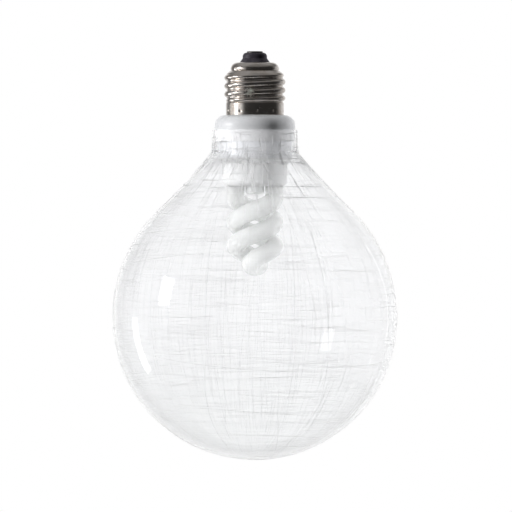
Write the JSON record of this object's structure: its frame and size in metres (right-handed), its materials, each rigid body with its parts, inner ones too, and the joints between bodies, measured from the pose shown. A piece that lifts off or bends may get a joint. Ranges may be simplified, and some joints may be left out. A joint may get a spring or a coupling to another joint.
{
  "type": "globe lamp",
  "caption": "Clear glass globe lamp with fine etched cross-hatching, a white spiral tube on a white base and an E27 screw cap; it hangs cap up and gives light.",
  "frame": {"origin": "centre of the flat end of the centre contact", "axes": "+Z along the lamp's axis, out of the screw cap; the globe hangs towards -Z; -Y is the side in the picture"},
  "size_m": [0.125, 0.125, 0.1792],
  "materials": {
    "nickel": "nickel-plated sheet, soft mirror",
    "insulator": "black moulded insulator, semi-gloss",
    "housing": "white moulded plastic, glossy",
    "cement": "set white cement",
    "clear_glass": "clear blown glass with etched lines",
    "coated_tube": "glass tube, white coated inside",
    "bare_lead": "tinned wire",
    "board": "bare paper laminate board",
    "ferrite": "sintered ferrite, matt",
    "bobbin": "black moulded spool",
    "copper": "enamelled copper wire",
    "can_sleeve": "sleeved aluminium can",
    "film_dip": "dipped epoxy coat",
    "black_package": "moulded epoxy package",
    "resistor_body": "lacquered ceramic body",
    "glass_bead": "sealed glass body, coated",
    "lead_insulation": "flexible insulation"
  },
  "bodies": {
    "root": {"screw_shell": "nickel", "centre_contact": "nickel", "cap_insulator": "insulator", "base_housing": "housing", "tube_holder": "housing", "neck_cement": "cement", "tube_cement": "cement", "glass_globe": "clear_glass", "spiral_tube": "coated_tube", "electrode_leads": "bare_lead", "wrap_pins": "bare_lead", "ballast_board": "board", "choke_core": "ferrite", "drive_ring_core": "ferrite", "choke_bobbin": "bobbin", "choke_winding": "copper", "drive_ring_windings": "copper", "smoothing_capacitor": "can_sleeve", "resonant_capacitor": "film_dip", "blocking_capacitor": "film_dip", "transistors": "black_package", "rectifier_diodes": "black_package", "resistors": "resistor_body", "fuse_resistor": "resistor_body", "trigger_diode": "glass_bead", "live_lead": "lead_insulation", "neutral_lead": "lead_insulation"}
  },
  "joints": []
}
